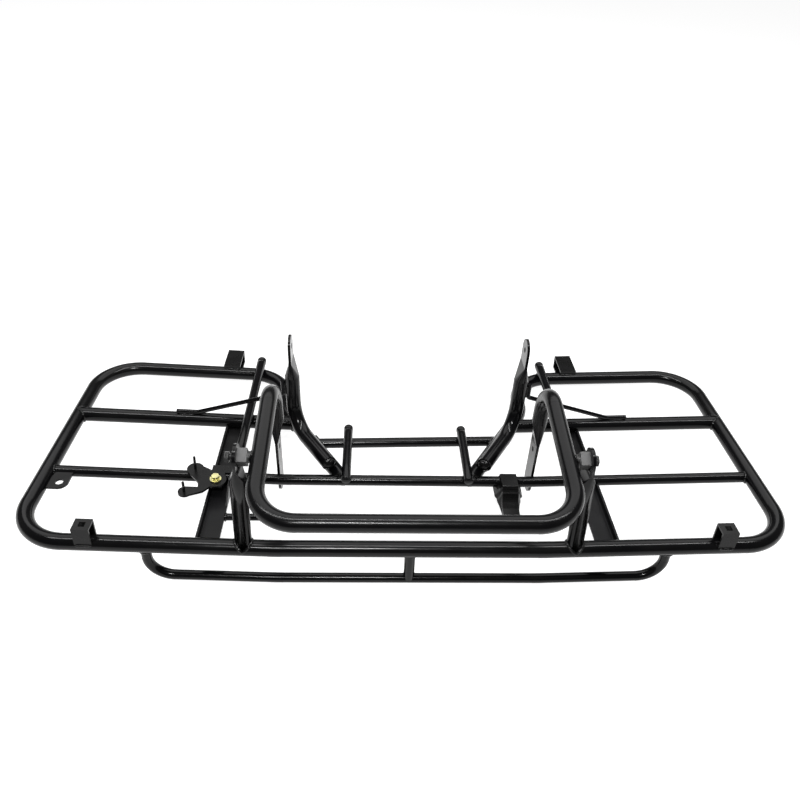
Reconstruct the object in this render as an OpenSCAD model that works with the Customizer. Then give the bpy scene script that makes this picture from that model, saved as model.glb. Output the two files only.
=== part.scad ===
// Rear rack of a quad bike, lying upside down with its load face underneath.
// X runs across the bike, Y from the rear tube towards the seat, Z towards the bike's frame.
// The origin is on the axis of the rear tube, halfway along it.

/* [Deck] */
// Half the distance between the axes of the two side tubes
half_width = 520; // [480:5:560]
// Distance from the rear tube's axis to the seat-side tube's axis
deck_depth = 405; // [385:5:450]
// Outer diameter of the perimeter tube and the wing bars
frame_tube_d = 22.2; // [20:0.2:25.4]
// Wall of the perimeter tube and the wing bars
frame_tube_wall = 2; // [1.2:0.2:3]
// Bend radius of the deck's corners, at the tube's axis
corner_bend_r = 66; // [50:5:100]
// Distance from the middle at which the wings start to rise
wing_start_x = 180; // [150:5:200]
// Angle by which each wing rises towards its side tube
wing_tilt = 2.4; // [0.5:0.1:5]
// Half the distance between the two tubes beside the seat gap
seat_gap_half = 200; // [195:1:215]
// Distance from the rear tube at which those tubes turn inwards
seat_turn_y = 305; // [296:1:314]
// Half the distance between the inner ends of the slanting tubes
slant_end_half = 95; // [90:1:105]

/* [Cross bars] */
// Distance from the rear tube to the main cross bar
main_bar_y = 136; // [125:1:150]
// Outer diameter of the main cross bar and the seat bar
bar_d = 16; // [14:0.5:20]
// Wall of the main cross bar and the seat bar
bar_wall = 1.6; // [1:0.2:3]
// Distance from the rear tube to the seat bar
seat_bar_y = 226; // [205:1:240]
// Angle by which the seat bar is out of square
seat_bar_skew = 2.2; // [0:0.2:3]
// Distance from the rear tube to the two wing bars
wing_bar_y = 268; // [255:1:276]
// Distance from the rear tube to the thin rod
thin_rod_y = 66; // [50:1:90]
// Diameter of the thin rod
thin_rod_d = 10; // [8:0.5:12]

/* [Straps] */
// Distance from the middle to each strap's inner edge
strap_inner_x = 257; // [245:1:275]
// Width of each strap, with its flange
strap_w = 30; // [24:1:40]
// Height of each strap's flange, from the web's underside
strap_flange_h = 13; // [8:0.5:18]
// Thickness of the straps
strap_t = 3; // [2:0.5:4]

/* [Lip rail] */
// Half the distance between the lip rail's two uprights
lip_half = 348; // [310:1:360]
// Distance from the rear tube's axis down to the lip rail's axis
lip_drop = 58; // [50:1:75]
// Outer diameter of the lip rail
lip_d = 13.6; // [12:0.2:16]
// Wall of the lip rail
lip_wall = 1.5; // [1:0.1:2.5]
// Bend radius of the lip rail
lip_bend_r = 34; // [25:1:38]
// Diameter of the post between the lip rail and the rear tube
lip_post_d = 15; // [10:1:18]

/* [Tail guard] */
// Half the distance between the axes of the guard's two legs
guard_half = 191; // [185:1:200]
// Outer diameter of the guard's tube
guard_tube_d = 22.2; // [20:0.2:25.4]
// Wall of the guard's tube
guard_tube_wall = 2; // [1.2:0.2:3]
// How far the guard's bar stands out behind the rear tube
guard_reach = 74; // [50:1:100]
// Height of the guard's bar over the deck
guard_bar_z = 125; // [110:1:150]
// Distance from the rear tube to the guard's hanging ends
guard_end_y = 164; // [162:1:180]
// Height at which the guard's legs turn down
guard_turn_z = 166; // [150:1:190]
// How far the guard's ends reach below the deck
guard_end_drop = 41; // [30:1:50]
// Bend radius of the guard at its bar
guard_corner_r = 52; // [40:1:70]
// Bend radius where the guard's legs turn down
guard_turn_r = 45; // [35:1:55]
// Height at which the guard's flattened ends begin
guard_flat_top = 56; // [40:1:70]
// Bore in the guard's flattened ends
guard_hole_d = 8.5; // [6:0.5:11]

/* [Braces] */
// Distance from the middle to each brace's axis
brace_x = 220; // [217:0.5:226]
// Outer diameter of the braces
brace_d = 22.2; // [18:0.2:25.4]
// Wall of the braces
brace_wall = 2; // [1.2:0.2:3]
// Distance from the rear tube to the bolt through each brace, along Y
brace_bolt_y = 20; // [10:1:32]
// Width across the faces of the square bosses that take the guard bolts
boss_af = 18; // [15:0.5:20]
// Across flats of the guard bolts' heads
guard_bolt_af = 13; // [10:0.5:17]
// Diameter of the guard bolts
guard_bolt_d = 8; // [6:0.5:10]

/* [Front legs] */
// Height of the front legs' tips over the deck
leg_top_z = 181; // [160:1:200]
// Outer diameter of the front legs
leg_d = 22.2; // [20:0.2:25.4]
// Wall of the front legs
leg_wall = 2; // [1.2:0.2:3]
// Bend radius of the front legs
leg_bend_r = 42; // [30:1:60]
// Distance of the upright part from the slanting tube's inner end
leg_bend_at = 133; // [118:1:142]
// Height of the flattened part of each leg
leg_flat_h = 40; // [30:1:46]
// Bore in the flattened part of each leg
leg_hole_d = 8.5; // [6:0.5:11]
// Diameter of the rods that stay the front legs
stay_d = 7; // [5:0.5:9]
// Distance from the middle to the outer end of each stay's foot
stay_foot_x = 366; // [345:1:400]

/* [Pins] */
// Outer diameter of the four guide pins
pin_d = 12.7; // [10:0.1:16]
// Wall of the guide pins
pin_wall = 1.6; // [1:0.1:2.5]
// Distance from the middle to each centre pin
centre_pin_x = 90; // [80:1:95]
// Distance from the middle to each outer pin
outer_pin_x = 251; // [235:1:252]

/* [Brackets] */
// Distance from the middle to the rear fender brackets
rear_bracket_x = 422; // [380:1:440]
// Width of the rear fender brackets
rear_bracket_w = 22; // [16:1:30]
// Height of the rear fender brackets over the deck
rear_bracket_h = 33; // [26:1:45]
// Depth of a rear bracket from front to back
rear_bracket_l = 20; // [18:0.5:22]
// Distance from the middle to the seat-side fender brackets
front_bracket_x = 301; // [295:1:340]
// Width of the seat-side fender brackets
front_bracket_w = 28; // [20:1:36]
// Length of the seat-side fender brackets, along Y
front_bracket_l = 52; // [40:1:60]
// Height of the seat-side fender brackets over the deck
front_bracket_h = 17; // [14:1:28]
// Thickness of the folded brackets
bracket_t = 2.5; // [1.5:0.5:4]
// Side of the square holes in the rear fender brackets
bracket_hole = 8; // [5:0.5:12]

/* [Hook and clip] */
// Width across the flats of the hook's bolt
hook_bolt_af = 10; // [8:1:13]
// Diameter of the hook's bolt
hook_bolt_d = 6; // [5:0.5:8]
// Distance from the middle to the middle of the clip
clip_x = 152; // [130:1:165]
// Width of the clip's strip
clip_w = 25; // [18:1:32]

/* [Hidden] */
$fn = 48;

// Clearance left where one piece is welded to another
weld_gap = 0.2;
// Radius of the slight bend where a wing starts to rise
wing_bend_r = 400;
// Bend radius between each side of the seat gap and its slanting tube
slant_bend_r = 80;
// Bend radius at the two seat-side corners beside the gap
seat_bend_r = 66;

// A tube swells in its bends by this share of its radius, and straight and bend overlap by the lap
bend_swell = 0.0125;
bend_lap = 0.5;
// How far the bars lie in from the load face
bar_inset = 0.8;

// Radii of the tubes and rods
frame_r = frame_tube_d / 2;
bar_r = bar_d / 2;
lip_r = lip_d / 2;
post_r = lip_post_d / 2;
rod_r = thin_rod_d / 2;
guard_r = guard_tube_d / 2;
brace_r = brace_d / 2;
leg_r = leg_d / 2;
stay_r = stay_d / 2;
pin_r = pin_d / 2;

// The load face is the plane under the frame tubes; the thinner bars lie almost flush with it
load_face_z = -frame_r;
bar_z = load_face_z + bar_inset + bar_r;
pin_z = bar_z + bar_r + pin_r + weld_gap;

function unit(v) = v / norm(v);

// A point given in the flat deck, carried up with the wing that it lies on
function on_wing(x, y, z = 0) =
  abs(x) <= wing_start_x ? [x, y, z]
  : let (run = abs(x) - wing_start_x)
    [sign(x) * (wing_start_x + run * cos(wing_tilt) - z * sin(wing_tilt)), y,
     run * sin(wing_tilt) + z * cos(wing_tilt)];

// Angle by which a path turns at its point i, and how far back from that point the bend starts
function turn_at(path, i) =
  acos(min(1, unit(path[i] - path[i - 1]) * unit(path[i + 1] - path[i])));
function setback(path, bends, i) =
  i == 0 || i == len(path) - 1 ? 0 : bends[i - 1] * tan(turn_at(path, i) / 2);

// Carries flat deck geometry on the right up with the wing
module on_right_wing() {
  translate([wing_start_x, 0, 0]) rotate([0, -wing_tilt, 0]) translate([-wing_start_x, 0, 0])
    children();
}

// Makes the left one of a pair from the right one
module handed(side) {
  mirror([side < 0 ? 1 : 0, 0, 0]) children();
}

// Turns children's Z axis to run from one point towards another
module aim(from, to) {
  run = to - from;
  translate(from) rotate([0, acos(run.z / norm(run)), atan2(run.y, run.x)]) children();
}

// Section of a tube, or of its solid outline where the wall is 0
module section(r, wall) {
  difference() {
    circle(r);
    if (wall > 0) circle(r - wall);
  }
}

module straight_tube(from, to, r, wall = 0) {
  aim(from, to) linear_extrude(norm(to - from)) section(r, wall);
}

// The arc of a round bar around point i of its path
module bar_bend(path, i, bend_r, r) {
  coming = unit(path[i] - path[i - 1]);
  going = unit(path[i + 1] - path[i]);
  inwards = unit(going - (going * coming) * coming);
  centre = path[i] - coming * bend_r * tan(turn_at(path, i) / 2) + inwards * bend_r;
  upright = cross(-inwards, coming);
  multmatrix([
      [-inwards.x, coming.x, upright.x, centre.x],
      [-inwards.y, coming.y, upright.y, centre.y],
      [-inwards.z, coming.z, upright.z, centre.z]])
    rotate_extrude(angle = turn_at(path, i)) translate([bend_r, 0]) circle(r * (1 + bend_swell));
}

// A round bar bent along a path, with one bend radius for each inner point
module bent_bar(path, bends, r, past_end = 0) {
  last = len(path) - 2;
  for (i = [0 : last]) {
    run = unit(path[i + 1] - path[i]);
    start = i == 0 ? -past_end : setback(path, bends, i) - bend_lap;
    end = i == last ? -past_end : setback(path, bends, i + 1) - bend_lap;
    straight_tube(path[i] + run * start, path[i + 1] - run * end, r);
  }
  for (i = [1 : last]) bar_bend(path, i, bends[i - 1], r);
}

// A bent tube, open at both ends, or a solid bar where the wall is 0
module bent_tube(path, bends, r, wall = 0) {
  difference() {
    bent_bar(path, bends, r);
    if (wall > 0) bent_bar(path, bends, r - wall, 1);
  }
}

// Width of a tube crushed flat, and the thickness of its two walls together
function crushed_w(d, wall) = PI * (d - wall) / 2 + wall;
function crushed_t(wall) = 2 * wall;

// The end of a tube crushed flat across X: a hollow taper up from z = 0, then a tab with round
// corners at its tip and a bore at each height in holes
module crushed_end(d, wall, taper_l, tab_l, holes, hole_d) {
  w = crushed_w(d, wall);
  t = crushed_t(wall);
  lap = 1;
  inset = 0.1;
  difference() {
    union() {
      hull() {
        translate([0, 0, -lap]) cylinder(r = d / 2 - inset, h = lap, $fn = 32);
        translate([inset / 2 - t / 2, inset / 2 - w / 2, taper_l - lap])
          cube([t - inset, w - inset, lap]);
      }
      translate([-t / 2, 0, taper_l]) rotate([90, 0, 90]) linear_extrude(t) {
        translate([-w / 2, -lap / 2]) square([w, tab_l - w / 2 + lap / 2]);
        translate([0, tab_l - w / 2]) circle(w / 2);
      }
    }
    hull() {
      translate([0, 0, -2 * lap]) cylinder(r = d / 2 - wall - inset, h = 2 * lap, $fn = 32);
      translate([-inset, wall - w / 2, taper_l - 3 * lap]) cube([2 * inset, w - 2 * wall, lap]);
    }
    for (h = holes)
      translate([0, 0, h]) rotate([0, 90, 0]) cylinder(d = hole_d, h = 2 * t, center = true);
  }
}

// Points of the deck, on the right
side_corner_rear = on_wing(half_width, 0);
side_corner_seat = on_wing(half_width, deck_depth);
seat_corner = on_wing(seat_gap_half, deck_depth);
seat_turn = on_wing(seat_gap_half, seat_turn_y);
slant_end = [slant_end_half, main_bar_y, 0];
wing_start = [wing_start_x, 0, 0];
function leftwards(p) = [-p.x, p.y, p.z];

// Direction of the right slanting tube, outwards along the deck, and the two directions across it
slant_dir = unit(seat_turn - slant_end);
slant_out = unit([slant_dir.y, -slant_dir.x, 0]);
slant_up = cross(slant_out, slant_dir);

module rear_tube_outline() {
  bent_tube([leftwards(side_corner_rear), leftwards(wing_start), wing_start, side_corner_rear],
    [wing_bend_r, wing_bend_r], frame_r + weld_gap);
}

module side_tube_outline() {
  straight_tube(side_corner_rear, side_corner_seat, frame_r + weld_gap);
}

module seat_tube_outline() {
  bent_tube([seat_corner, seat_turn, slant_end], [slant_bend_r], frame_r + weld_gap);
}

module main_bar_path(r, wall = 0) {
  wing_end = on_wing(half_width, main_bar_y, bar_z);
  start = [wing_start_x, main_bar_y, bar_z];
  bent_tube([leftwards(wing_end), leftwards(start), start, wing_end],
    [wing_bend_r, wing_bend_r], r, wall);
}

module perimeter_tube() {
  right = [wing_start, side_corner_rear, side_corner_seat, seat_corner, seat_turn, slant_end];
  left = [for (i = [len(right) - 1 : -1 : 0]) leftwards(right[i])];
  bends = [wing_bend_r, corner_bend_r, corner_bend_r, seat_bend_r, slant_bend_r];
  left_bends = [for (i = [len(bends) - 1 : -1 : 0]) bends[i]];
  color("black") difference() {
    bent_tube(concat(left, right), concat(left_bends, bends), frame_r, frame_tube_wall);
    main_bar_path(bar_r + weld_gap);
    for (side = [-1, 1]) handed(side) centre_pin_outline(weld_gap);
  }
}

module main_bar() {
  color("black") difference() {
    main_bar_path(bar_r, bar_wall);
    for (side = [-1, 1]) handed(side) side_tube_outline();
  }
}

module seat_bar() {
  color("black") difference() {
    translate([0, seat_bar_y, bar_z]) rotate([0, 90, seat_bar_skew])
      linear_extrude(2 * seat_gap_half, center = true) section(bar_r, bar_wall);
    for (side = [-1, 1]) handed(side) {
      seat_tube_outline();
      beyond_slant();
    }
  }
}

// Everything on the outer side of the slanting tube's axis
module beyond_slant() {
  reach = 2 * seat_gap_half;
  translate(slant_end) rotate([0, 0, atan2(slant_dir.y, slant_dir.x)])
    translate([-reach, -reach, -reach / 2]) cube([2 * reach, reach, reach]);
}

module wing_bar(side) {
  color("black") handed(side) difference() {
    straight_tube(on_wing(seat_gap_half - 2 * frame_r, wing_bar_y), on_wing(half_width, wing_bar_y),
      frame_r, frame_tube_wall);
    seat_tube_outline();
    side_tube_outline();
    before_slant();
  }
}

// Everything on the seat gap's side of the slanting tube's axis
module before_slant() {
  reach = 2 * seat_gap_half;
  translate(slant_end) rotate([0, 0, atan2(slant_dir.y, slant_dir.x)])
    translate([-reach, 0, -reach / 2]) cube([2 * reach, reach, reach]);
}

// The straps lie against the load face's side of the bars
strap_top_z = load_face_z - weld_gap;

module thin_rod() {
  end = on_wing(strap_inner_x - weld_gap, thin_rod_y, strap_top_z - strap_t / 2);
  color("black") straight_tube(leftwards(end), end, rod_r);
}

// Slot that lets a bar of radius r at (y, z) pass through the strap's flange
module flange_slot(y, z, r) {
  slot_l = 4 * strap_t;
  outer_x = strap_inner_x + strap_w;
  translate([outer_x, y, z]) {
    rotate([0, 90, 0]) cylinder(r = r, h = slot_l, center = true);
    translate([-slot_l / 2, -r, 0]) cube([slot_l, 2 * r, strap_flange_h]);
  }
}

// An angle iron with its flange on the outer side, slotted for the bars that cross it
module strap(side) {
  outer_x = strap_inner_x + strap_w;
  bottom_z = strap_top_z - strap_t;
  bend_out = strap_t + 2;
  slot_play = 0.6;
  strap_end = wing_bar_y + frame_r / 2;
  color("dimgray") handed(side) on_right_wing() difference() {
    translate([0, strap_end, 0]) rotate([90, 0, 0]) linear_extrude(strap_end) {
      translate([strap_inner_x, bottom_z]) square([strap_w - bend_out, strap_t]);
      translate([outer_x - strap_t, bottom_z + bend_out])
        square([strap_t, strap_flange_h - bend_out]);
      translate([outer_x - bend_out, bottom_z + bend_out]) intersection() {
        section(bend_out, strap_t);
        translate([0, -bend_out]) square(bend_out);
      }
    }
    flange_slot(main_bar_y, bar_z, bar_r + slot_play);
    flange_slot(wing_bar_y, 0, frame_r + slot_play);
    flange_slot(0, 0, frame_r + slot_play);
  }
}

module lip_path(r, wall = 0) {
  right = [[wing_start_x, 0, -lip_drop], on_wing(lip_half, 0, -lip_drop), on_wing(lip_half, 0)];
  left = [for (i = [2 : -1 : 0]) leftwards(right[i])];
  bends = [lip_bend_r, wing_bend_r, wing_bend_r, lip_bend_r];
  bent_tube(concat(left, right), bends, r, wall);
}

module lip_rail() {
  color("black") difference() {
    lip_path(lip_r, lip_wall);
    rear_tube_outline();
  }
}

module lip_post() {
  color("black") difference() {
    straight_tube([0, 0, -lip_drop], [0, 0, 0], post_r);
    rear_tube_outline();
    lip_path(lip_r + weld_gap);
  }
}

// The guard's leg on the right, from its bar to where it turns down
guard_corner = [guard_half, -guard_reach, guard_bar_z];
guard_turn = [guard_half, guard_end_y, guard_turn_z];
guard_taper = 34;
function guard_leg_z(y) =
  guard_bar_z + (y + guard_reach) * (guard_turn_z - guard_bar_z) / (guard_end_y + guard_reach);
brace_bolt_z = guard_leg_z(brace_bolt_y);

module tail_guard() {
  hang = [guard_half, guard_end_y, guard_flat_top + guard_taper];
  w = crushed_w(guard_tube_d, guard_tube_wall);
  tab_l = guard_flat_top + guard_end_drop;
  upper_hole = guard_taper + w / 2;
  tip_hole = guard_taper + tab_l - w / 2;
  color("black") {
    bent_tube([leftwards(hang), leftwards(guard_turn), leftwards(guard_corner), guard_corner,
      guard_turn, hang], [guard_turn_r, guard_corner_r, guard_corner_r, guard_turn_r],
      guard_r, guard_tube_wall);
    for (side = [-1, 1]) handed(side) translate(hang) mirror([0, 0, 1])
      crushed_end(guard_tube_d, guard_tube_wall, guard_taper, tab_l, [upper_hole, tip_hole],
        guard_hole_d);
  }
}

// Centre of each guard bolt, and the faces of the brace's tab that it goes through
tab_half_t = crushed_t(brace_wall) / 2;
bolt_centre = [brace_x, brace_bolt_y, brace_bolt_z];
bolt_play = 0.25;

module guard_boss(side) {
  block_l = 12.5;
  boss_turn = 30;
  from_leg = guard_half + guard_r / 2;
  boss_l = brace_x - tab_half_t - weld_gap - from_leg;
  color("black") handed(side) difference() {
    translate([from_leg, brace_bolt_y, brace_bolt_z]) rotate([0, 90, 0]) difference() {
      union() {
        cylinder(d = boss_af - 3, h = boss_l - block_l + 1);
        translate([0, 0, boss_l - block_l]) linear_extrude(block_l)
          rotate(boss_turn) square(boss_af, center = true);
      }
      translate([0, 0, -1]) cylinder(d = guard_bolt_d + 2 * bolt_play, h = boss_l + 2);
    }
    straight_tube(guard_corner, guard_turn, guard_r + weld_gap);
  }
}

module brace(side) {
  foot = [brace_x, 0, on_wing(brace_x, 0).z];
  w = crushed_w(brace_d, brace_wall);
  taper_l = 18;
  tab_below = 14;
  taper_foot = bolt_centre - unit(bolt_centre - foot) * (taper_l + tab_below);
  color("black") handed(side) difference() {
    union() {
      straight_tube(foot, taper_foot, brace_r, brace_wall);
      translate(taper_foot) rotate([-atan2(bolt_centre.y - foot.y, bolt_centre.z - foot.z), 0, 0])
        crushed_end(brace_d, brace_wall, taper_l, tab_below + w / 2, [taper_l + tab_below],
          guard_bolt_d + 2 * bolt_play);
    }
    rear_tube_outline();
  }
}

// A hexagon bolt with a washer; on the left its head stands off the washer, as found
module guard_bolt(side) {
  washer_t = 1.6;
  head_t = 5.3;
  stand_off = side < 0 ? 4 : 0;
  shank_in = 14;
  color("dimgray") handed(side)
    translate([brace_x + tab_half_t + weld_gap, brace_bolt_y, brace_bolt_z]) rotate([0, 90, 0]) {
      cylinder(d = guard_bolt_af + 3, h = washer_t);
      translate([0, 0, washer_t + stand_off])
        cylinder(d = guard_bolt_af / cos(30), h = head_t, $fn = 6);
      translate([0, 0, -shank_in]) cylinder(d = guard_bolt_d, h = shank_in + washer_t + stand_off);
    }
}

// The legs lie on the slanting tubes, leaning a little outwards, and then rise
leg_lean = 30;
leg_foot_at = 22;
leg_taper = 30;
leg_over = (frame_r + leg_r + weld_gap) * (cos(leg_lean) * slant_up + sin(leg_lean) * slant_out);
leg_knee = slant_end + slant_dir * leg_bend_at + leg_over;
leg_taper_foot = [leg_knee.x, leg_knee.y, leg_top_z - leg_flat_h - leg_taper];

module leg_path(r, wall = 0) {
  foot = slant_end + slant_dir * leg_foot_at + leg_over;
  bent_tube([foot, leg_knee, leg_taper_foot], [leg_bend_r], r, wall);
}

module front_leg(side) {
  w = crushed_w(leg_d, leg_wall);
  color("black") handed(side) {
    leg_path(leg_r, leg_wall);
    translate(leg_taper_foot)
      crushed_end(leg_d, leg_wall, leg_taper, leg_flat_h, [leg_taper + leg_flat_h - w / 2],
        leg_hole_d);
  }
}

// A rod from a foot along the wing bar's top that ends upright against the outer side of the leg
module leg_stay(side) {
  upright_l = 24;
  upright_z = 78;
  foot_l = 34;
  foot_z = frame_r + weld_gap + stay_r;
  foot = on_wing(stay_foot_x, wing_bar_y, foot_z);
  foot_inner = on_wing(stay_foot_x - foot_l, wing_bar_y, foot_z);
  corner = [leg_knee.x + leg_r + stay_r + weld_gap, leg_knee.y, upright_z];
  color("black") handed(side) difference() {
    bent_tube([foot, foot_inner, corner, corner + [0, 0, upright_l]], [4 * stay_r, 2 * stay_r],
      stay_r);
    leg_path(leg_r + weld_gap);
  }
}

module pin(x, from_y, to_y, z) {
  straight_tube([x, from_y, z], [x, to_y, z], pin_r, pin_wall);
}

centre_pin_from = main_bar_y - bar_r - 9;
centre_pin_to = seat_bar_y + bar_r + 12;

module centre_pin_outline(gap) {
  straight_tube([centre_pin_x, centre_pin_from, pin_z], [centre_pin_x, centre_pin_to, pin_z],
    pin_r + gap);
}

// A pin with its tip cut slanting and a small hole in the slanting face
module slanted_tip(x, tip_y, z) {
  translate([x, tip_y, z + pin_r]) rotate([45, 0, 0]) translate([-pin_d, -pin_d / 3, 0])
    cube(2 * pin_d);
}

module centre_pin(side) {
  color("black") handed(side) difference() {
    pin(centre_pin_x, centre_pin_from, centre_pin_to, pin_z);
    slanted_tip(centre_pin_x, centre_pin_to, pin_z);
  }
}

module outer_pin(side) {
  from_y = wing_bar_y - 105;
  to_y = deck_depth + frame_r + 10;
  z = frame_r + pin_r + weld_gap;
  color("black") handed(side) on_right_wing() difference() {
    pin(outer_pin_x, from_y, to_y, z);
    slanted_tip(outer_pin_x, to_y, z);
  }
}

// A hat folded from strip that stands on the rear tube, with a square hole in its top
module rear_bracket(side) {
  color("black") handed(side) on_right_wing()
    translate([rear_bracket_x, 0, 0]) difference() {
      rotate([90, 0, 90]) linear_extrude(rear_bracket_w, center = true) difference() {
        translate([-rear_bracket_l / 2, 0]) square([rear_bracket_l, rear_bracket_h]);
        translate([bracket_t - rear_bracket_l / 2, -1])
          square([rear_bracket_l - 2 * bracket_t, rear_bracket_h - bracket_t + 1]);
      }
      translate([-bracket_hole / 2, -bracket_hole / 2, rear_bracket_h - 2 * bracket_t])
        cube([bracket_hole, bracket_hole, 3 * bracket_t]);
      rotate([0, 90, 0])
        cylinder(r = frame_r + weld_gap, h = 2 * rear_bracket_w, center = true);
    }
}

// A strip folded into a box that stands out over the seat-side tube
module front_bracket(side) {
  fold_h = 24;
  front_y = deck_depth - 3;
  back_y = front_y + front_bracket_l;
  color("black") handed(side) on_right_wing() translate([front_bracket_x, 0, 0]) difference() {
    rotate([90, 0, 90]) linear_extrude(front_bracket_w, center = true) {
      translate([front_y, 0]) square([bracket_t, front_bracket_h]);
      translate([front_y, front_bracket_h - bracket_t]) square([front_bracket_l, bracket_t]);
      translate([back_y - bracket_t, front_bracket_h - fold_h]) square([bracket_t, fold_h]);
      translate([deck_depth, front_bracket_h - fold_h])
        square([back_y - deck_depth, bracket_t]);
    }
    translate([-front_bracket_x, 0, 0])
      straight_tube([0, deck_depth, 0], [half_width, deck_depth, 0], frame_r + weld_gap);
  }
}

// A flat eye in the corner between the left side tube and the main bar
module tie_tab() {
  tab_t = 3;
  eye_r = 12.5;
  hole_r = 5.5;
  eye_x = half_width - frame_r - 14;
  eye_y = main_bar_y - bar_r - 19;
  color("black") handed(-1) on_right_wing() difference() {
    translate([0, 0, -tab_t / 2]) linear_extrude(tab_t) difference() {
      union() {
        translate([eye_x, eye_y]) circle(eye_r);
        translate([eye_x, eye_y - eye_r]) square([half_width - eye_x, 2 * eye_r]);
        translate([eye_x - eye_r, eye_y]) square([2 * eye_r, main_bar_y - eye_y]);
      }
      translate([eye_x, eye_y]) circle(hole_r);
    }
    straight_tube([half_width, 0, 0], [half_width, deck_depth, 0], frame_r + weld_gap);
    straight_tube([0, main_bar_y, bar_z], [half_width, main_bar_y, bar_z], bar_r + weld_gap);
  }
}

// The hook's bracket is folded over the main bar where the left strap crosses it
cap_z = bar_z + bar_r + weld_gap;
cap_front_y = main_bar_y - 2;
tongue_w = 20;
strap_outer_x = strap_inner_x + strap_w;
hook_bolt_x = strap_outer_x - tongue_w / 2;
hook_bolt_y = main_bar_y - 21;

module hook_bracket() {
  cap_l = 16;
  tongue_front_y = hook_bolt_y - 12;
  wall_foot_y = tongue_front_y - 18;
  web_z = strap_top_z + weld_gap;
  color("black") handed(-1) on_right_wing() difference() {
    union() {
      translate([strap_inner_x, cap_front_y, cap_z]) cube([strap_w, cap_l, bracket_t]);
      translate([strap_outer_x - tongue_w, tongue_front_y, cap_z])
        cube([tongue_w, cap_front_y - tongue_front_y, bracket_t]);
      translate([strap_inner_x, 0, 0]) rotate([90, 0, 90]) linear_extrude(bracket_t)
        polygon([[cap_front_y + cap_l, cap_z + bracket_t], [tongue_front_y + 6, cap_z + bracket_t],
          [wall_foot_y, web_z], [cap_front_y + cap_l, web_z]]);
    }
    straight_tube([0, main_bar_y, bar_z], [half_width, main_bar_y, bar_z], bar_r + weld_gap);
    translate([hook_bolt_x, hook_bolt_y, 0]) cylinder(d = hook_bolt_d + 2 * bolt_play, h = 3 * cap_z);
  }
}

// A flat double hook bolted onto its bracket, with an upright pin in each lobe
module hook_plate() {
  plate_z = cap_z + bracket_t + weld_gap;
  plate_t = 3.5;
  upper = [hook_bolt_x + 33, hook_bolt_y + 22];
  lower = [hook_bolt_x + 38, hook_bolt_y - 26];
  neck = [hook_bolt_x + 24, hook_bolt_y - 6];
  hook_pin_r = 1.9;
  color("dimgray") handed(-1) on_right_wing() {
    translate([0, 0, plate_z]) linear_extrude(plate_t) difference() {
      union() {
        translate([hook_bolt_x, hook_bolt_y]) circle(15);
        translate(upper) circle(12);
        translate(lower) circle(9.5);
        polygon([[hook_bolt_x, hook_bolt_y + 15], [upper.x - 11, upper.y + 5], upper,
          [upper.x + 9, upper.y - 8], neck, [neck.x - 2, lower.y + 9.5], [lower.x, lower.y + 9.5],
          [lower.x, lower.y - 9.5], [hook_bolt_x + 14, lower.y + 1],
          [hook_bolt_x + 5, hook_bolt_y - 14]]);
      }
      translate([hook_bolt_x, hook_bolt_y]) circle(hook_bolt_d / 2 + bolt_play);
    }
    translate([upper.x, upper.y, plate_z]) cylinder(r = hook_pin_r, h = 25);
    translate([lower.x + 1, lower.y, plate_z]) cylinder(r = hook_pin_r, h = 20);
  }
}

module hook_bolt() {
  flange_t = 1.8;
  head_t = 5.5;
  shank_below = 12;
  head_z = cap_z + bracket_t + 3.5 + 2 * weld_gap;
  color("gold") handed(-1) on_right_wing() translate([hook_bolt_x, hook_bolt_y, head_z]) {
    cylinder(d = hook_bolt_af + 6, h = flange_t);
    cylinder(d = hook_bolt_af / cos(30), h = flange_t + head_t, $fn = 6);
    translate([0, 0, -shank_below]) cylinder(d = hook_bolt_d, h = shank_below + flange_t);
  }
}

// A strip folded over the main bar and stepped down to the thin rod, with a wall on each side
module clip_bracket() {
  wall_splay = 12;
  wall_h = 20;
  top_z = bar_z + bar_r + weld_gap;
  back_y = main_bar_y + 6;
  step_y = main_bar_y - 22;
  ledge_l = 7;
  ledge_z = top_z - 7;
  foot_y = main_bar_y - 46;
  rod_y = thin_rod_y + rod_r + weld_gap;
  rod_z = -rod_r;
  t = bracket_t;
  half_w = clip_w / 2;
  color("black") translate([clip_x, 0, 0]) difference() {
    union() {
      rotate([90, 0, 90]) linear_extrude(clip_w, center = true)
        polygon([[back_y, top_z + t], [step_y, top_z + t], [step_y, ledge_z + t],
          [step_y - ledge_l, ledge_z + t], [foot_y, rod_z - 3 + t], [rod_y, rod_z - 3 + t],
          [rod_y, rod_z - 3], [foot_y + t, rod_z - 3], [step_y - ledge_l + t, ledge_z],
          [step_y + t, ledge_z], [step_y + t, top_z], [back_y, top_z]]);
      for (end = [-1, 1])
        translate([end * half_w, 0, top_z]) rotate([0, end * -wall_splay, 0])
          translate([-t / 2, 0, 0]) rotate([90, 0, 90]) linear_extrude(t)
            polygon([[back_y, t], [step_y, t], [step_y - ledge_l - 3, -7], [foot_y - 8, -wall_h + 2],
              [foot_y, -wall_h], [step_y, -wall_h], [back_y, -bar_d]]);
    }
    translate([-clip_x, 0, 0]) {
      main_bar_path(bar_r + weld_gap);
      straight_tube([0, thin_rod_y, strap_top_z - strap_t / 2],
        [2 * clip_x, thin_rod_y, strap_top_z - strap_t / 2], rod_r + weld_gap);
    }
    translate([half_w - 8, back_y - 5, 0]) {
      cylinder(r = 3, h = 2 * (top_z + t));
      translate([-6, 0, 0]) cylinder(r = 3, h = 2 * (top_z + t));
      translate([-6, -3, 0]) cube([6, 6, 2 * (top_z + t)]);
    }
  }
}

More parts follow.
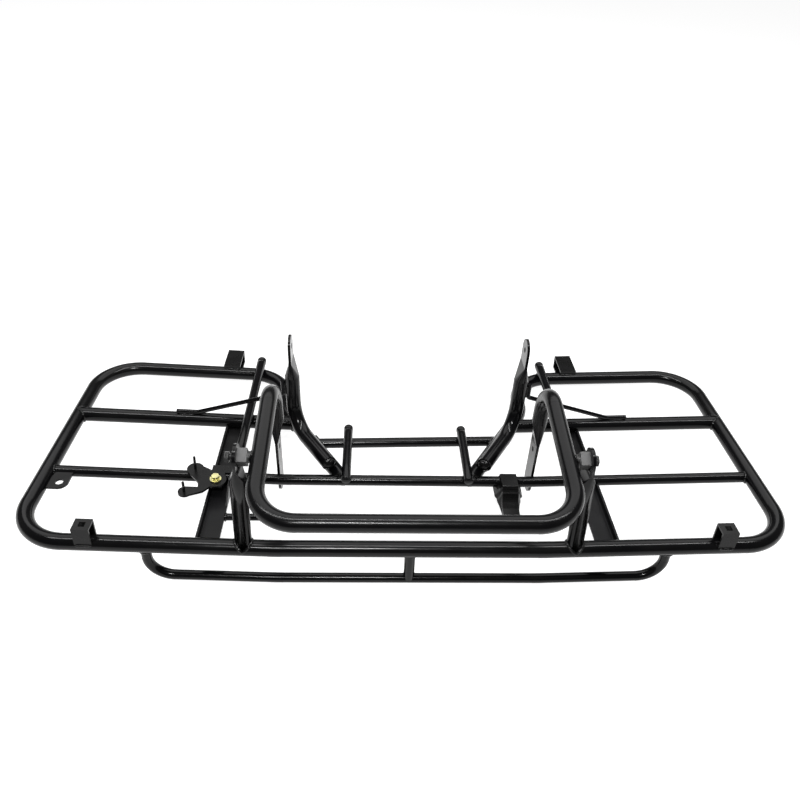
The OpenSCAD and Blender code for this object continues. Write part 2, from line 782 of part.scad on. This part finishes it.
perimeter_tube();
main_bar();
seat_bar();
wing_bar(-1);  // wing_bar_left
wing_bar(1);  // wing_bar_right
thin_rod();
strap(-1);  // strap_left
strap(1);  // strap_right
lip_rail();
lip_post();
tail_guard();
guard_boss(-1);  // guard_boss_left
guard_boss(1);  // guard_boss_right
brace(-1);  // brace_left
brace(1);  // brace_right
guard_bolt(-1);  // guard_bolt_left
guard_bolt(1);  // guard_bolt_right
front_leg(-1);  // front_leg_left
front_leg(1);  // front_leg_right
leg_stay(-1);  // leg_stay_left
leg_stay(1);  // leg_stay_right
centre_pin(-1);  // centre_pin_left
centre_pin(1);  // centre_pin_right
outer_pin(-1);  // outer_pin_left
outer_pin(1);  // outer_pin_right
rear_bracket(-1);  // rear_bracket_left
rear_bracket(1);  // rear_bracket_right
front_bracket(-1);  // front_bracket_left
front_bracket(1);  // front_bracket_right
tie_tab();
hook_plate();
hook_bracket();
hook_bolt();
clip_bracket();
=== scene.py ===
# Rear rack of a quad bike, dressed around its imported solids. Metres, in the rack's own frame:
# X across the bike, Y from the rear tube towards the seat, Z up while the rack lies upside down.
import bmesh
import bpy
import math
import random
import mathutils.noise
from mathutils import Matrix, Vector


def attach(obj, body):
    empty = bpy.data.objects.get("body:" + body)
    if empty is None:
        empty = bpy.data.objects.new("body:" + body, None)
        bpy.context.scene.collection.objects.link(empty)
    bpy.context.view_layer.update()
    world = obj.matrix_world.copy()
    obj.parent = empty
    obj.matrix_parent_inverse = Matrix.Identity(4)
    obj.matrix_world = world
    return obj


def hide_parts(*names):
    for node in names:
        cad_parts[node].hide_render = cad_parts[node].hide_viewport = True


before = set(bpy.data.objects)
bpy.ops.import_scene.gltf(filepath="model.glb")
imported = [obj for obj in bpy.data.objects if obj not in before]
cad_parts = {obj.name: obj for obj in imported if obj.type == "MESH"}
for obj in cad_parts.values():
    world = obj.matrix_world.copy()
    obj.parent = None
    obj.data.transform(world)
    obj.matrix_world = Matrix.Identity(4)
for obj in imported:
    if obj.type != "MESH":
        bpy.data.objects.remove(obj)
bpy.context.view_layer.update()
scene = bpy.context.scene
scene.view_settings.view_transform = "Standard"

MM = 0.001

# Camera
CAMERA_AT = Vector((-0.0588, -0.6290, 0.7033))
CAMERA_PITCH = 36.0
CAMERA_YAW = 3.213
CAMERA_ROLL = 2.732
CAMERA_LENS = 31.19


def look(yaw, pitch, roll):
    """Rotation of a camera that looks along +Y turned by yaw towards +X, then down by pitch."""
    return (
        Matrix.Rotation(math.radians(-yaw), 4, "Z")
        @ Matrix.Rotation(math.radians(90 - pitch), 4, "X")
        @ Matrix.Rotation(math.radians(roll), 4, "Z")
    )


camera_data = bpy.data.cameras.new("camera")
camera_data.lens = CAMERA_LENS
camera_data.sensor_width = 36.0
camera = bpy.data.objects.new("camera", camera_data)
camera.matrix_world = Matrix.Translation(CAMERA_AT) @ look(CAMERA_YAW, CAMERA_PITCH, CAMERA_ROLL)
scene.collection.objects.link(camera)
scene.camera = camera


# Materials
def new_material(name):
    """A node material with its Principled shader, its output and its node tree."""
    material = bpy.data.materials.new(name)
    material.use_nodes = True
    nodes = material.node_tree.nodes
    return material, nodes["Principled BSDF"], nodes, material.node_tree.links


def noise(nodes, links, scale, detail=3.0, roughness=0.55):
    """A noise texture in the object's own coordinates, which are the rack's."""
    coords = nodes.new("ShaderNodeTexCoord")
    texture = nodes.new("ShaderNodeTexNoise")
    texture.inputs["Scale"].default_value = scale
    texture.inputs["Detail"].default_value = detail
    texture.inputs["Roughness"].default_value = roughness
    links.new(coords.outputs["Object"], texture.inputs["Vector"])
    return texture.outputs["Fac"]


def spread(nodes, links, source, low, high, from_low=0.3, from_high=0.7):
    """Maps a noise value onto the range from low to high."""
    ramp = nodes.new("ShaderNodeMapRange")
    ramp.inputs["From Min"].default_value = from_low
    ramp.inputs["From Max"].default_value = from_high
    ramp.inputs["To Min"].default_value = low
    ramp.inputs["To Max"].default_value = high
    links.new(source, ramp.inputs["Value"])
    return ramp.outputs["Result"]


def two_colours(nodes, links, factor, first, second):
    """Mixes two colours by a factor from 0 to 1."""
    mix = nodes.new("ShaderNodeMix")
    mix.data_type = "RGBA"
    mix.inputs["A"].default_value = (*first, 1)
    mix.inputs["B"].default_value = (*second, 1)
    links.new(factor, mix.inputs["Factor"])
    return mix.outputs["Result"]


def bumped(nodes, links, shader, height, distance):
    """Lets a height value disturb the shader's normal."""
    bump = nodes.new("ShaderNodeBump")
    bump.inputs["Distance"].default_value = distance
    bump.inputs["Strength"].default_value = 1.0
    links.new(height, bump.inputs["Height"])
    links.new(bump.outputs["Normal"], shader.inputs["Normal"])


PATCH_SCALE = 9.0
WEAR_SCALE = 38.0
WAVE_SCALE = 420.0
WAVE_HEIGHT = 0.003 * MM


def paint(name, dark, pale, gloss_low, gloss_high, specular):
    """Black enamel with a little unevenness in its colour, its gloss and its surface."""
    material, shader, nodes, links = new_material(name)
    patches = spread(nodes, links, noise(nodes, links, PATCH_SCALE), 0.0, 1.0, 0.45, 0.72)
    links.new(two_colours(nodes, links, patches, dark, pale), shader.inputs["Base Color"])
    wear = noise(nodes, links, WEAR_SCALE, 4.0)
    links.new(spread(nodes, links, wear, gloss_low, gloss_high), shader.inputs["Roughness"])
    shader.inputs["Specular IOR Level"].default_value = specular
    bumped(nodes, links, shader, noise(nodes, links, WAVE_SCALE, 2.0), WAVE_HEIGHT)
    return material


def plain_metal(name, first, second, rough_low, rough_high):
    """Plated steel with uneven colour and gloss."""
    material, shader, nodes, links = new_material(name)
    patches = spread(nodes, links, noise(nodes, links, 160.0), 0.0, 1.0, 0.4, 0.65)
    links.new(two_colours(nodes, links, patches, first, second), shader.inputs["Base Color"])
    links.new(
        spread(nodes, links, noise(nodes, links, 300.0), rough_low, rough_high),
        shader.inputs["Roughness"],
    )
    shader.inputs["Metallic"].default_value = 1.0
    return material


BOSS_BLOCK_X = 204.5


def black_within(material, half_width):
    """Blackens a finish where it lies nearer to the rack's middle than a distance across the bike."""
    nodes, links = material.node_tree.nodes, material.node_tree.links
    shader = nodes["Principled BSDF"]
    pale = shader.inputs["Base Color"].links[0].from_socket
    coords = nodes.new("ShaderNodeTexCoord")
    parts = nodes.new("ShaderNodeSeparateXYZ")
    links.new(coords.outputs["Object"], parts.inputs[0])
    distance = nodes.new("ShaderNodeMath")
    distance.operation = "ABSOLUTE"
    links.new(parts.outputs["X"], distance.inputs[0])
    beyond = nodes.new("ShaderNodeMath")
    beyond.operation = "GREATER_THAN"
    beyond.inputs[1].default_value = half_width * MM
    links.new(distance.outputs[0], beyond.inputs[0])
    mix = nodes.new("ShaderNodeMix")
    mix.data_type = "RGBA"
    mix.inputs["A"].default_value = (0.004, 0.004, 0.004, 1)
    links.new(beyond.outputs[0], mix.inputs["Factor"])
    links.new(pale, mix.inputs["B"])
    links.new(mix.outputs["Result"], shader.inputs["Base Color"])


tube_paint = paint("tube_paint", (0.0015, 0.0015, 0.0018), (0.004, 0.004, 0.004), 0.14, 0.21, 0.2)
guard_paint = paint("guard_paint", (0.0015, 0.0015, 0.0018), (0.004, 0.004, 0.004), 0.2, 0.26, 0.21)
plate_paint = paint("plate_paint", (0.003, 0.003, 0.003), (0.007, 0.007, 0.007), 0.22, 0.34, 0.16)
strap_paint = paint("strap_paint", (0.006, 0.006, 0.0065), (0.009, 0.009, 0.009), 0.3, 0.42, 0.1)
# The guard bosses' pale grey is a painted highlight that stands for the lit face of their blocks.
boss_painted_highlight = paint("boss_painted_highlight", (0.05, 0.05, 0.05), (0.075, 0.075, 0.075), 0.4, 0.55, 0.5)
bead_paint = paint("bead_paint", (0.002, 0.002, 0.002), (0.006, 0.006, 0.006), 0.14, 0.26, 0.25)
bolt_metal = paint("bolt_metal", (0.008, 0.008, 0.008), (0.016, 0.015, 0.014), 0.25, 0.4, 0.22)
zinc = plain_metal("yellow_zinc", (0.66, 0.62, 0.3), (0.46, 0.44, 0.26), 0.26, 0.38)
# Keeps the painted highlight on the boss blocks only; nearer the rack's middle than the blocks, the
# bosses stay black.
black_within(boss_painted_highlight, BOSS_BLOCK_X)

PLATES = ("rear_bracket", "front_bracket", "tie_tab", "hook_plate", "hook_bracket", "clip_bracket")
for name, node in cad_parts.items():
    finish = tube_paint
    if name.startswith("strap"):
        finish = strap_paint
    elif name.startswith(PLATES):
        finish = plate_paint
    elif name == "tail_guard":
        finish = guard_paint
    elif name.startswith("guard_boss"):
        finish = boss_painted_highlight
    elif name.startswith("guard_bolt"):
        finish = bolt_metal
    elif name == "hook_bolt":
        finish = zinc
    node.data.materials.clear()
    node.data.materials.append(finish)


# Pieces
def smooth_mesh(name, bm, sharp_above=180):
    """Makes a mesh that is shaded smoothly, except over edges sharper than an angle in degrees."""
    mesh = bpy.data.meshes.new(name)
    bm.to_mesh(mesh)
    bm.free()
    mesh.polygons.foreach_set("use_smooth", [True] * len(mesh.polygons))
    mesh.set_sharp_from_angle(angle=math.radians(sharp_above))
    return mesh


def piece(name, mesh, finish, stands_for=None):
    """A piece that rides on the rack, and stands in for a solid where one is named."""
    obj = bpy.data.objects.new(name, mesh)
    scene.collection.objects.link(obj)
    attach(obj, "root")
    mesh.materials.append(finish)
    if stands_for:
        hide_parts(stands_for)
    return obj


def smooth_copy(name):
    """A piece of the same shape as a solid that it stands in for, but shaded smoothly."""
    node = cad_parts[name]
    bm = bmesh.new()
    bm.from_mesh(node.data)
    bmesh.ops.transform(bm, matrix=node.matrix_world, verts=bm.verts)
    bmesh.ops.remove_doubles(bm, verts=bm.verts, dist=0.001 * MM)
    mesh = smooth_mesh(name + "_smooth", bm, sharp_above=38)
    piece(name + "_smooth", mesh, tube_paint, name)


for name in ("brace_left", "brace_right"):
    smooth_copy(name)


# Sizes of the solids that the pieces follow, in millimetres, on the right-hand side
FRAME_R = 11.1
LIP_R = 6.8
BAR_R = 8.0
ROD_R = 5.0
PIN_R = 6.35
WELD_GAP = 0.2
STRAP_T = 3
HALF_WIDTH = 520
DECK_DEPTH = 405
WING_START_X = 180
WING_TILT = math.radians(2.4)
BAR_Z = -2.3
MAIN_BAR_Y = 136
SEAT_BAR_Y = 226
WING_BAR_Y = 268
THIN_ROD_Y = 66
STRAP_INNER_X = 257
LIP_HALF = 348
GUARD_HALF = 191
BRACE_X = 220
BOLT_Y = 20
BOLT_Z = 141.2
SLANT_END = Vector((95, MAIN_BAR_Y, 0))
LEG_BEND_AT = 133
LEG_FOOT_AT = 22
LEG_LEAN = math.radians(30)
LEG_SPACING = 22.4
STAY_FOOT_X = 366
STAY_TOP_FROM = 80
STAY_TOP_WELD = 19
CENTRE_PIN_X = 90
OUTER_PIN_X = 251
PIN_Z = BAR_Z + BAR_R + PIN_R
REAR_BRACKET_X = 422
FRONT_BRACKET_X = 301

X_AXIS = Vector((1, 0, 0))
Y_AXIS = Vector((0, 1, 0))
Z_AXIS = Vector((0, 0, 1))


def on_wing(x, y, z=0.0):
    """A point given in the flat deck, carried up with the right wing."""
    run = x - WING_START_X
    if run <= 0:
        return Vector((x, y, z))
    return Vector((WING_START_X + run * math.cos(WING_TILT) - z * math.sin(WING_TILT), y,
                   run * math.sin(WING_TILT) + z * math.cos(WING_TILT)))


WING_DIR = (on_wing(HALF_WIDTH, 0) - on_wing(WING_START_X, 0)).normalized()
SLANT_DIR = (on_wing(200, 305) - SLANT_END).normalized()
SLANT_OUT = Vector((SLANT_DIR.y, -SLANT_DIR.x, 0)).normalized()
SLANT_UP = SLANT_OUT.cross(SLANT_DIR)
LEG_OVER = LEG_SPACING * (math.cos(LEG_LEAN) * SLANT_UP + math.sin(LEG_LEAN) * SLANT_OUT)
LEG_KNEE = SLANT_END + SLANT_DIR * LEG_BEND_AT + LEG_OVER


def saddle(at, towards, radius, onto_at, onto_dir, onto_radius, sweep=(0, 360), steps=60):
    """The line on which a tube that starts at a point meets a second tube's surface."""
    along, axis = towards.normalized(), onto_dir.normalized()
    side = along.cross(axis).normalized()
    top = side.cross(along)
    points = []
    for step in range(steps):
        turn = math.radians(sweep[0] + (sweep[1] - sweep[0]) * step / steps)
        point = at + radius * (side * math.cos(turn) + top * math.sin(turn))
        offset = point - onto_at
        offset = offset - axis * offset.dot(axis)
        slope = along - axis * along.dot(axis)
        a, b, c = slope.dot(slope), offset.dot(slope), offset.dot(offset) - onto_radius ** 2
        travel = (-b - math.sqrt(max(b * b - a * c, 0.0))) / a
        points.append(point + along * travel)
    return points


def stitch(start, end, steps=24):
    """Points along a straight weld."""
    return [start.lerp(end, step / (steps - 1)) for step in range(steps)]


def ring(centre, normal, radius, steps=36):
    """Points round a circle."""
    first = normal.orthogonal().normalized()
    second = normal.normalized().cross(first)
    return [centre + radius * (first * math.cos(2 * math.pi * step / steps)
                               + second * math.sin(2 * math.pi * step / steps))
            for step in range(steps)]


SIDES = 8
RIPPLE_MM = 2.6
RIPPLE = 0.14
UNEVEN = 0.1


def bead(name, points, radius, closed=True):
    """A rippled weld bead laid along points in millimetres, on both hands."""
    count = len(points)
    middle = sum(points, Vector()) / count
    for hand, mirror in (("left", -1), ("right", 1)):
        vertices, faces, walked = [], [], 0.0
        for index, point in enumerate(points):
            before = points[index - 1] if index or closed else point
            after = points[(index + 1) % count] if index < count - 1 or closed else point
            tangent = (after - before).normalized()
            outward = point - middle
            outward = outward - tangent * outward.dot(tangent)
            if not closed or outward.length < 0.01:
                outward = tangent.orthogonal()
            outward.normalize()
            across = tangent.cross(outward)
            walked += (point - before).length
            swell = 1 + RIPPLE * math.sin(2 * math.pi * walked / RIPPLE_MM)
            swell += random.uniform(-UNEVEN, UNEVEN)
            if not closed:
                swell *= min(1.0, 0.45 + 0.3 * min(index, count - 1 - index))
            for turn in range(SIDES):
                angle = 2 * math.pi * turn / SIDES
                vertex = point + radius * swell * (
                    outward * math.cos(angle) + across * math.sin(angle))
                vertices.append((mirror * vertex.x * MM, vertex.y * MM, vertex.z * MM))
        for index in range(count if closed else count - 1):
            here, there = index * SIDES, (index + 1) % count * SIDES
            for turn in range(SIDES):
                other = (turn + 1) % SIDES
                faces.append((here + turn, here + other, there + other, there + turn))
        if not closed:
            faces.append(tuple(range(SIDES)))
            faces.append(tuple(range((count - 1) * SIDES, count * SIDES)))
        add_weld(name + "_" + hand, vertices, faces)


def add_weld(name, vertices, faces):
    """Makes a smooth piece of weld metal from points in metres."""
    raw = bpy.data.meshes.new(name + "_points")
    raw.from_pydata(vertices, [], faces)
    bm = bmesh.new()
    bm.from_mesh(raw)
    bpy.data.meshes.remove(raw)
    bmesh.ops.recalc_face_normals(bm, faces=bm.faces)
    piece(name, smooth_mesh(name, bm), bead_paint)


def fill(name, centre, normal, radius, height):
    """A lumpy cap of weld metal that closes a tube's end, on both hands."""
    turn = normal.to_track_quat("Z", "Y")
    for hand, mirror in (("left", -1), ("right", 1)):
        bm = bmesh.new()
        bmesh.ops.create_icosphere(bm, subdivisions=4, radius=1.0)
        for vertex in bm.verts:
            coarse = mathutils.noise.noise(vertex.co * 2.4)
            fine = mathutils.noise.noise(vertex.co * 7.0)
            lump = 1 + 0.07 * coarse + 0.04 * fine
            shaped = Vector((vertex.co.x * radius, vertex.co.y * radius, vertex.co.z * height)) * lump
            placed = centre + turn @ shaped
            vertex.co = Vector((mirror * placed.x, placed.y, placed.z)) * MM
        vertices = [tuple(vertex.co) for vertex in bm.verts]
        faces = [tuple(vertex.index for vertex in face.verts) for face in bm.faces]
        bm.free()
        add_weld(name + "_" + hand, vertices, faces)


# Weld beads of the deck
random.seed(11)
side_tube = on_wing(HALF_WIDTH, 0)
bead("weld_main_bar", saddle(on_wing(480, MAIN_BAR_Y, BAR_Z), WING_DIR, BAR_R,
                             side_tube, Y_AXIS, FRAME_R), 1.9)
bead("weld_wing_bar_outer", saddle(on_wing(480, WING_BAR_Y), WING_DIR, FRAME_R,
                                   side_tube, Y_AXIS, FRAME_R), 2.0)
bead("weld_wing_bar_inner", saddle(on_wing(260, WING_BAR_Y), -WING_DIR, FRAME_R,
                                   SLANT_END, SLANT_DIR, FRAME_R), 2.2)
bead("weld_seat_bar", saddle(Vector((120, SEAT_BAR_Y, BAR_Z)), X_AXIS, BAR_R,
                             SLANT_END, SLANT_DIR, FRAME_R), 1.9)
bead("weld_slant_end", saddle(SLANT_END + SLANT_DIR * 30, -SLANT_DIR, FRAME_R,
                              Vector((0, MAIN_BAR_Y, BAR_Z)), X_AXIS, BAR_R), 2.1)
fill("weld_slant_cap", SLANT_END + SLANT_DIR * 3, -SLANT_DIR, FRAME_R - 0.6, 5)
rod_height = -FRAME_R - WELD_GAP - STRAP_T / 2
bead("weld_thin_rod", ring(on_wing(STRAP_INNER_X - 1, THIN_ROD_Y, rod_height), WING_DIR, ROD_R), 1.4)

# Weld beads of the lip rail
WING_UP = WING_DIR.cross(Y_AXIS)
bead("weld_lip_rail", saddle(on_wing(LIP_HALF, 0, -40), WING_UP, LIP_R,
                             on_wing(LIP_HALF, 0), WING_DIR, FRAME_R), 2.1)

# Weld beads of the guard's braces and bosses
brace_foot = on_wing(BRACE_X, 0)
brace_top = Vector((BRACE_X, BOLT_Y, BOLT_Z))
bead("weld_brace", saddle(brace_top, brace_foot - brace_top, FRAME_R,
                          brace_foot, WING_DIR, FRAME_R), 2.4)
bead("weld_boss", saddle(brace_top, -X_AXIS, 7.6,
                         Vector((GUARD_HALF, BOLT_Y, BOLT_Z)), Y_AXIS, FRAME_R), 1.2)

# Weld beads of the front legs, which lie along the slanting tubes
fill("weld_leg_foot", SLANT_END + SLANT_DIR * (LEG_FOOT_AT + 1.5) + LEG_OVER * 0.96, -SLANT_DIR,
     FRAME_R - 1.2, 8)
leg_touch = SLANT_END + LEG_OVER / 2
leg_across = LEG_OVER.cross(SLANT_DIR).normalized()
LEG_WELDS = ((24, 58), (84, 112))
for label, side in (("inner", -1), ("outer", 1)):
    for number, (near, far) in enumerate(LEG_WELDS):
        offset = leg_touch + leg_across * side * 7.6
        bead("weld_leg_" + label + str(number + 1),
             stitch(offset + SLANT_DIR * near, offset + SLANT_DIR * far), 3.0, closed=False)

# Weld beads of the stays
stay_height = FRAME_R + 0.4
for label, side in (("rear", -1), ("seat", 1)):
    offset_y = WING_BAR_Y + side * 3.6
    bead("weld_stay_foot_" + label, stitch(on_wing(STAY_FOOT_X - 4, offset_y, stay_height),
                                           on_wing(STAY_FOOT_X - 28, offset_y, stay_height)),
         1.7, closed=False)
    touch = Vector((LEG_KNEE.x + FRAME_R, LEG_KNEE.y + side * 3.4, STAY_TOP_FROM))
    bead("weld_stay_top_" + label, stitch(touch, touch + STAY_TOP_WELD * Z_AXIS), 1.7, closed=False)

# Weld beads round the places where the pins rest
for name, x, y in (("main", CENTRE_PIN_X, MAIN_BAR_Y), ("seat", CENTRE_PIN_X, SEAT_BAR_Y)):
    bead("weld_centre_pin_" + name, ring(Vector((x, y, BAR_Z + BAR_R + 0.6)), Z_AXIS, 4.8), 2.2)
for name, y in (("wing", WING_BAR_Y), ("seat", DECK_DEPTH)):
    bead("weld_outer_pin_" + name, ring(on_wing(OUTER_PIN_X, y, FRAME_R + 0.4), WING_UP, 4.8), 2.0)

# Weld beads of the brackets: both edges of the rear one, and the near edge of the front one
BRACKET_WELDS = (
    ("rear_bracket_tail", REAR_BRACKET_X, -10.4, 4.0, 10),
    ("front_bracket_tail", FRONT_BRACKET_X, DECK_DEPTH - 3.4, 10.4, 13),
    ("rear_bracket_seat", REAR_BRACKET_X, 10.4, 4.0, 10),
)
for label, x, y, rise, half in BRACKET_WELDS:
    bead("weld_" + label, stitch(on_wing(x - half, y, rise), on_wing(x + half, y, rise)), 1.8,
         closed=False)

# Pins, a little swollen where their tips were cut and painted; the radii are the shaft's and the tip's
PIN_AROUND = 32
TIP_LENGTH = 40
TIP_FULL_FROM = 6
DISH_DEPTH = 2.4
DISH_FROM_TIP = 9.0
DISH_SPREAD = 5.0
CENTRE_PIN_R = (6.8, 7.3)
OUTER_PIN_R = (7.1, 8.0)


def pin_piece(name, from_y, to_y, side, x, z, shaft_r, tip_r):
    """A pin along Y with a rounded tip and a dished spot on the tip's upper side."""
    length = to_y - from_y
    tip = length - TIP_LENGTH
    stations = [0, 0.4, 1.2, length * 0.25, length * 0.5, tip]
    stations += [tip + 2.0 * step for step in range(1, 16)]
    stations += [length - tip_r * (1 - math.sin(math.radians(angle))) for angle in range(0, 90, 9)]
    axis = on_wing(x, 0, z) if x > WING_START_X else Vector((x, 0, z))
    bm = bmesh.new()
    rings = []
    for along in sorted(stations):
        from_tip = length - along
        swelling = 1 - (from_tip - TIP_FULL_FROM) / (TIP_LENGTH - TIP_FULL_FROM)
        radius = shaft_r + (tip_r - shaft_r) * min(1.0, max(0.0, swelling))
        if from_tip < tip_r:
            radius *= math.sqrt(max(0.0, 1 - ((tip_r - from_tip) / tip_r) ** 4))
        if along < 0.5:
            radius -= 0.6 - along
        row = []
        for step in range(PIN_AROUND):
            turn = 2 * math.pi * step / PIN_AROUND
            up = max(0.0, math.cos(turn))
            dish = DISH_DEPTH * up ** 3 * math.exp(-((from_tip - DISH_FROM_TIP) / DISH_SPREAD) ** 2)
            across = radius * math.sin(turn)
            point = axis + Vector((across, from_y + along, radius * math.cos(turn) - dish))
            row.append(bm.verts.new((side * point.x * MM, point.y * MM, point.z * MM)))
        rings.append(row)
    for near, far in zip(rings, rings[1:]):
        for step in range(PIN_AROUND):
            after = (step + 1) % PIN_AROUND
            bm.faces.new((near[step], near[after], far[after], far[step]))
    bm.faces.new(rings[0])
    bm.faces.new(rings[-1])
    bmesh.ops.recalc_face_normals(bm, faces=bm.faces)
    mesh = smooth_mesh(name + "_painted", bm, sharp_above=50)
    piece(name + "_painted", mesh, tube_paint, name)


for hand, side in (("left", -1), ("right", 1)):
    pin_piece("centre_pin_" + hand, MAIN_BAR_Y - BAR_R - 9, SEAT_BAR_Y + BAR_R + 12, side,
              CENTRE_PIN_X, PIN_Z + 0.6, *CENTRE_PIN_R)
    pin_piece("outer_pin_" + hand, WING_BAR_Y - 105, DECK_DEPTH + FRAME_R + 10, side,
              OUTER_PIN_X, FRAME_R + PIN_R + 1.0, *OUTER_PIN_R)

# Clip, a strip folded over the main bar and stepped down to the thin rod between two walls
CLIP_X = 152
CLIP_W = 25
CLIP_T = 2.5
CLIP_STEP = 7
CLIP_FACETS = 7
CLIP_FACET_L = 3.2
CLIP_FIRST_SLOPE = 68
CLIP_SLOPE_CHANGE = 6
CLIP_SPLAY = 0.42
CLIP_SHEET = 2.6
CLIP_EDGE = 0.5


def clip_profile():
    """The strip's middle line seen from the side, from the main bar to the thin rod."""
    top = BAR_Z + BAR_R + WELD_GAP + CLIP_T / 2
    back, front = MAIN_BAR_Y + 6, MAIN_BAR_Y - 21
    ledge = top - CLIP_STEP
    profile = [(back, top), (back - 9, top), (front + 2, top), (front + 0.6, top - 0.6),
               (front, top - 2), (front - 0.6, ledge + 1.4), (front - 2, ledge),
               (front - 5.4, ledge), (front - 6.4, ledge - 1)]
    for step in range(CLIP_FACETS):
        slope = math.radians(CLIP_FIRST_SLOPE - CLIP_SLOPE_CHANGE * step)
        y, z = profile[-1]
        profile.append((y - CLIP_FACET_L * math.cos(slope), z - CLIP_FACET_L * math.sin(slope)))
    profile.append((THIN_ROD_Y + 8, profile[-1][1] - 2))
    return profile


def clip_piece():
    """The folded strip and its walls as one bent sheet, then thickened."""
    profile = clip_profile()
    half = CLIP_W / 2 - CLIP_T / 2
    low_back, low_front = Vector((profile[0][0], -14)), Vector((THIN_ROD_Y + 14, -26))
    vertices, faces = [], []
    for index, (y, z) in enumerate(profile):
        share = index / (len(profile) - 1)
        low = low_back.lerp(low_front, share)
        depth = max(0.0, z - low.y)
        out = CLIP_SPLAY * depth * (1 - share) ** 0.7
        wall_y = low.x * share + y * (1 - share)
        wall_z = min(z - 0.2, low.y)
        row = [(half, y, z), (half + out * 0.4, y, z - depth * 0.5), (half + out, wall_y, wall_z)]
        row = [(-x, y, z) for x, y, z in reversed(row)] + row
        vertices += [((CLIP_X + px) * MM, py * MM, pz * MM) for px, py, pz in row]
    columns = len(row)
    for index in range(len(profile) - 1):
        for column in range(columns - 1):
            a = index * columns + column
            faces.append((a, a + 1, a + columns + 1, a + columns))
    mesh = bpy.data.meshes.new("clip_bracket_folded")
    mesh.from_pydata(vertices, [], faces)
    obj = piece("clip_bracket_folded", mesh, plate_paint, "clip_bracket")
    thick = obj.modifiers.new("thickness", "SOLIDIFY")
    thick.thickness = CLIP_SHEET * MM
    thick.offset = 0
    edge = obj.modifiers.new("edges", "BEVEL")
    edge.width = CLIP_EDGE * MM
    edge.segments = 2
    edge.limit_method = "ANGLE"


clip_piece()

# Floor, touching the lip rail and the seat-side tube, on which the rack lies
FLOOR_TILT = 7.9
FLOOR_BELOW = 64.6 * MM
FLOOR_HALF = 6.0
FLOOR_GLOW = 0.88
floor_mesh = bpy.data.meshes.new("floor")
floor_mesh.from_pydata(
    [(x * FLOOR_HALF, y * FLOOR_HALF, 0) for x, y in ((-1, -1), (1, -1), (1, 1), (-1, 1))],
    [], [(0, 1, 2, 3)])
floor = bpy.data.objects.new("floor", floor_mesh)
tilt = Matrix.Rotation(math.radians(FLOOR_TILT), 4, "X")
floor.matrix_world = tilt @ Matrix.Translation((0, 0, -FLOOR_BELOW))
scene.collection.objects.link(floor)
floor_material, floor_shader, floor_nodes, floor_links = new_material("floor")
floor_shader.inputs["Base Color"].default_value = (0.35, 0.35, 0.35, 1)
floor_shader.inputs["Roughness"].default_value = 0.9
floor_shader.inputs["Specular IOR Level"].default_value = 0.1
floor_shader.inputs["Emission Color"].default_value = (1, 1, 1, 1)


def joined(operation, first, second=None):
    """A maths node in the floor's material, whose second value is the glow if no socket is given."""
    node = floor_nodes.new("ShaderNodeMath")
    node.operation = operation
    node.use_clamp = operation == "ADD"
    floor_links.new(first, node.inputs[0])
    if second is not None:
        floor_links.new(second, node.inputs[1])
    else:
        node.inputs[1].default_value = FLOOR_GLOW
    return node.outputs[0]


path = floor_nodes.new("ShaderNodeLightPath")
seen = joined("ADD", path.outputs["Is Camera Ray"], path.outputs["Is Glossy Ray"])
seen = joined("ADD", seen, path.outputs["Is Transmission Ray"])
floor_links.new(joined("MULTIPLY", seen), floor_shader.inputs["Emission Strength"])
floor_mesh.materials.append(floor_material)

# World and lamps
AMBIENT = 0.15
world = bpy.data.worlds.new("studio")
world.use_nodes = True
scene.world = world
world.node_tree.nodes["Background"].inputs["Color"].default_value = (1, 1, 1, 1)
world.node_tree.nodes["Background"].inputs["Strength"].default_value = AMBIENT


def lamp(name, at, aim, size, power):
    """A rectangular soft box; its first side lies along X."""
    data = bpy.data.lights.new(name, "AREA")
    data.shape = "RECTANGLE"
    data.size, data.size_y = size
    data.energy = power
    obj = bpy.data.objects.new(name, data)
    direction = (Vector(aim) - Vector(at)).normalized()
    obj.matrix_world = Matrix.Translation(at) @ direction.to_track_quat("-Z", "Y").to_matrix().to_4x4()
    scene.collection.objects.link(obj)


lamp("overhead", (0.0, -0.06, 1.6), (0.0, 0.06, 0.0), (2.6, 0.1), 30)
lamp("front", (-0.17, -1.15, 1.5), (-0.1, 0.0, 0.05), (0.56, 0.05), 9)
lamp("front_core", (-0.15, -1.15, 1.5), (-0.1, 0.0, 0.05), (0.26, 0.045), 11)
lamp("ceiling", (0.0, 1.0, 1.6), (0.0, 0.2, 0.0), (3.4, 1.4), 32)
